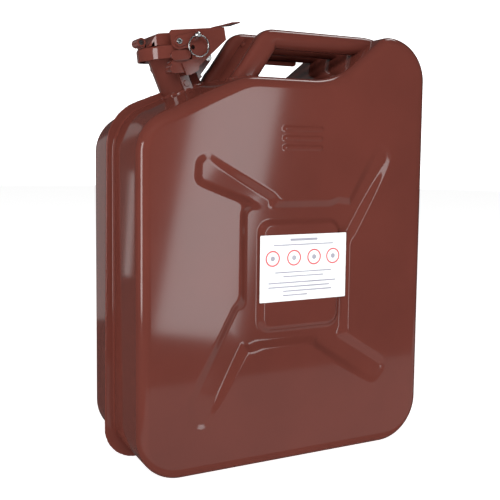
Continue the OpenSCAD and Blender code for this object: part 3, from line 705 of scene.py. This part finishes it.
# Grey bars in place of lines of print: left end, right end, height, thickness
BARS = [(-4, 30, 243.0, 2.6), (-24, 50, 237.6, 1.3), (-22, 48, 208.2, 1.3), (-12, 38, 203.6, 1.3),
        (-30, 54, 197.0, 1.5), (-30, 46, 192.4, 1.5), (-12, 49, 187.8, 1.5), (-12, 18, 183.2, 1.5)]


def printed(name, outlines):
    return plate(name, outlines, PRINT_Y - PRINT_HALF, PRINT_Y + PRINT_HALF, PRINT_BEVEL)


def label_print():
    """Plain marks on the label: circles with a dot, and bars."""
    rings, dots, lines = [], [], []
    for x in MARKS_X:
        rings.append(printed("ring", [circle_outline(x, MARKS_Z, MARK_R, 56),
                                      circle_outline(x, MARKS_Z, MARK_R - MARK_LINE, 56)[::-1]]))
        dots.append(printed("dot", [circle_outline(x, MARKS_Z, DOT_R, 32)]))
    for x0, x1, z, t in BARS:
        r = t * BAR_ROUND
        corners = [(x0, z - t / 2, r), (x1, z - t / 2, r), (x1, z + t / 2, r), (x0, z + t / 2, r)]
        lines.append(printed("bar", [rounded(corners, 0.3)[:, :2]]))
    for name, meshes, ink in (("print_rings", rings, RED_INK), ("print_dots", dots, GREY_INK),
                              ("print_bars", lines, GREY_INK)):
        finish_mesh(name, joined(name, meshes), "can", ink, 30)


# ------------------------------------------------------------------ stage, lights and camera

FLOOR_HALF, BACKDROP_R, BACKDROP_SIDES, BACKDROP_Z = 8, 7.0, 64, (-1, 8)
WORLD_STRENGTH = 0.06


def stage_piece(name, material_name, verts, faces, base, strength):
    """Pale glowing surface that the enamel doesn't mirror."""
    mesh = bpy.data.meshes.new(name)
    mesh.from_pydata(verts, [], faces)
    material, _, shader = node_tree(material_name)
    shader.inputs["Base Color"].default_value = (base, base, base, 1)
    shader.inputs["Emission Color"].default_value = (1, 1, 1, 1)
    shader.inputs["Emission Strength"].default_value = strength
    mesh.materials.append(material)
    obj = bpy.data.objects.new(name, mesh)
    obj.visible_glossy = False
    bpy.context.scene.collection.objects.link(obj)
    return obj, shader


def stage():
    """Pale floor, and a white backdrop all round that lights nothing."""
    half = FLOOR_HALF
    _, shader = stage_piece("floor", "pale_floor", [(-half, -half, 0), (half, -half, 0), (half, half, 0),
                                                    (-half, half, 0)], [(0, 1, 2, 3)], 0.6, 0.92)
    shader.inputs["Roughness"].default_value = 0.8
    n = BACKDROP_SIDES
    angles = np.linspace(0, 2 * math.pi, n, endpoint=False)
    verts = [(BACKDROP_R * math.cos(a), BACKDROP_R * math.sin(a), z) for z in BACKDROP_Z for a in angles]
    faces = [(i, (i + 1) % n, n + (i + 1) % n, n + i) for i in range(n)]
    backdrop, _ = stage_piece("backdrop", "white_backdrop", verts, faces, 1, 1.0)
    backdrop.visible_diffuse = False


def area_light(name, location, target, size, power, lean=0.0, colour=(1, 1, 1)):
    """Rectangular light that faces the target, turned by lean degrees about its own axis."""
    data = bpy.data.lights.new(name, "AREA")
    data.shape = "RECTANGLE"
    data.size, data.size_y = size
    data.energy = power
    data.color = colour
    obj = bpy.data.objects.new(name, data)
    aim = (Vector(target) - Vector(location)).to_track_quat("-Z", "Y")
    obj.rotation_euler = (aim.to_matrix() @ Matrix.Rotation(math.radians(lean), 3, "Z")).to_euler()
    obj.location = location
    bpy.context.scene.collection.objects.link(obj)
    return obj


def lights():
    world = bpy.data.worlds.new("studio")
    world.use_nodes = True
    world.node_tree.nodes["Background"].inputs["Color"].default_value = (1, 1, 1, 1)
    world.node_tree.nodes["Background"].inputs["Strength"].default_value = WORLD_STRENGTH
    bpy.context.scene.world = world
    # large key above the camera's left shoulder, kept out of the enamel's reflections
    key = area_light("key", (-1.1, -2.8, 2.5), (0, 0, 0.2), (3.0, 2.0), 122)
    key.visible_glossy = False
    # softbox mirrored by the left of the front face
    area_light("softbox", (0.42, -1.2, 0.2), (0.42, 0, 0.2), (0.235, 0.7), 2.05, -11, (0.94, 1.0, 1.02))
    # strips for the pressed edge on the left and for the bars' tops
    area_light("left_strip", (-2.0, -0.75, 0.4), (-0.17, 0, 0.25), (0.62, 1.3), 17)
    area_light("top_strip", (0.9, 0.3, 2.0), (0, 0, 0.4), (0.5, 0.9), 6)
    # light off the floor, seen only in the enamel
    glow = area_light("floor_glow", (0.25, -0.24, 0.004), (0.25, -0.24, 1), (1.1, 0.28), 0.4)
    glow.visible_camera = False
    glow.visible_diffuse = False
    # strips mirrored by the side walls, the rear pan's and then the front pan's
    area_light("rear_strip", (-0.62, 2.0, 0.45), (-0.2, 0, 0.3), (0.3, 1.5), 0.44)
    area_light("side_patch", (-0.95, 2.0, 0.06), (-0.172, 0, 0.26), (0.05, 0.4), 0.075, -9)


CAMERA_AT = (-0.412, -0.798, 0.335)
CAMERA_AZIMUTH, CAMERA_PITCH, CAMERA_ROLL = math.radians(26.5), math.radians(4.8), math.radians(0.65)
SENSOR_MM, LENS_MM, SHIFT = 36, 55.8, (0.004, -0.064)


def camera():
    """Camera to the left of the label's face, looking slightly down."""
    level = math.cos(CAMERA_PITCH)
    ahead = Vector((math.sin(CAMERA_AZIMUTH) * level, math.cos(CAMERA_AZIMUTH) * level, -math.sin(CAMERA_PITCH)))
    right = Vector((math.cos(CAMERA_AZIMUTH), -math.sin(CAMERA_AZIMUTH), 0))
    up = right.cross(ahead)
    c, si = math.cos(CAMERA_ROLL), math.sin(CAMERA_ROLL)
    right, up = right * c + up * si, up * c - right * si
    turn = Matrix((right, up, -ahead)).transposed().to_4x4()
    data = bpy.data.cameras.new("camera")
    data.sensor_width = SENSOR_MM
    data.lens = LENS_MM
    data.shift_x, data.shift_y = SHIFT
    obj = bpy.data.objects.new("camera", data)
    obj.matrix_world = Matrix.Translation(CAMERA_AT) @ turn
    bpy.context.scene.collection.objects.link(obj)
    bpy.context.scene.camera = obj


shells()
seam()
bars()
soft_pieces()
label_print()
stage()
lights()
camera()
bpy.context.scene.view_settings.view_transform = "Standard"
